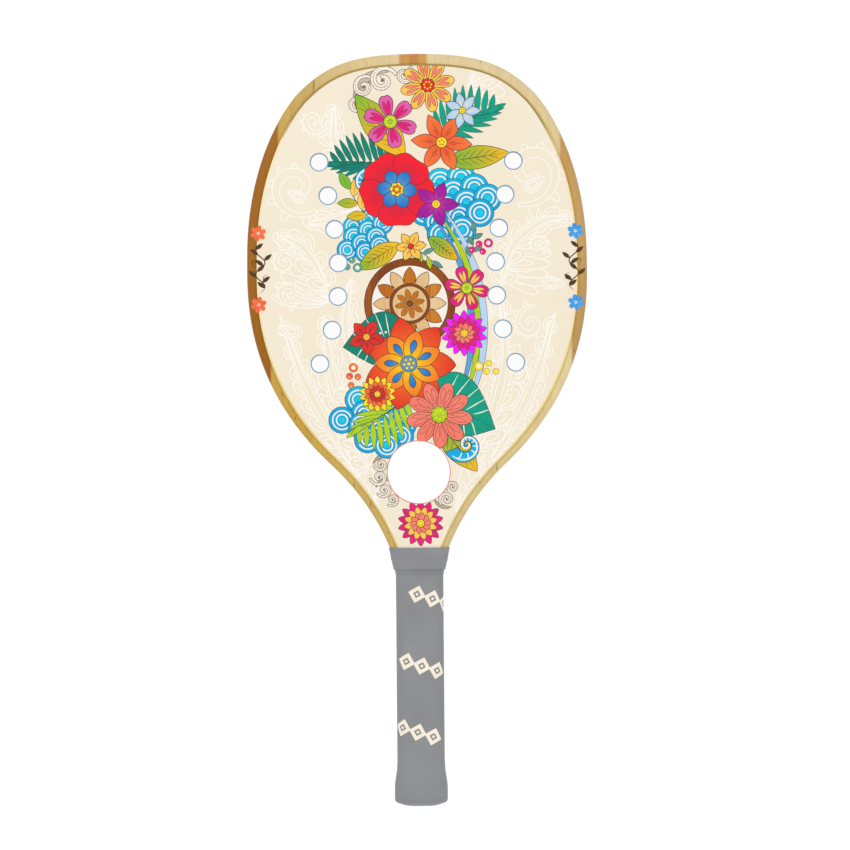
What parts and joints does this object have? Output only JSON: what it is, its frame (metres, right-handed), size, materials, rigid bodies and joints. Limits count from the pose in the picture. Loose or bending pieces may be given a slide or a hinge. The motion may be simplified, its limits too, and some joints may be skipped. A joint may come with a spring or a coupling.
{
  "type": "beach tennis racket",
  "caption": "Solid-face beach tennis racket with a wood-look rim, a printed cream face, vent holes and a wrapped grey handle.",
  "frame": {"origin": "middle of the base of the racket's box, lying on its back: halfway along its length and under the lowest point of the butt", "axes": "+Y from the butt to the tip of the head, +Z out of the front face, +X across the head"},
  "size_m": [0.226, 0.5, 0.0337],
  "materials": {
    "wood_look_shell": "lacquered wood grain, satin",
    "filler_foam": "rigid foam",
    "core_foam": "soft closed-cell foam",
    "face_laminate": "wood-veneered laminate",
    "printed_film": "printed and lacquered, satin",
    "handle_plastic": "moulded",
    "cap_rubber": "matt",
    "grip_wrap": "matt cushioned polyurethane tape",
    "finishing_tape": "smooth thin tape",
    "collar_rubber": "matt"
  },
  "bodies": {
    "root": {"frame_tube": "wood_look_shell", "frame_foam": "filler_foam", "eva_core": "core_foam", "front_face_sheet": "face_laminate", "back_face_sheet": "face_laminate", "front_decal": "printed_film", "back_decal": "printed_film", "handle_core": "filler_foam", "front_pallet": "handle_plastic", "back_pallet": "handle_plastic", "butt_cap": "cap_rubber", "base_grip": "grip_wrap", "finishing_tape": "finishing_tape", "collar": "collar_rubber"}
  },
  "joints": []
}
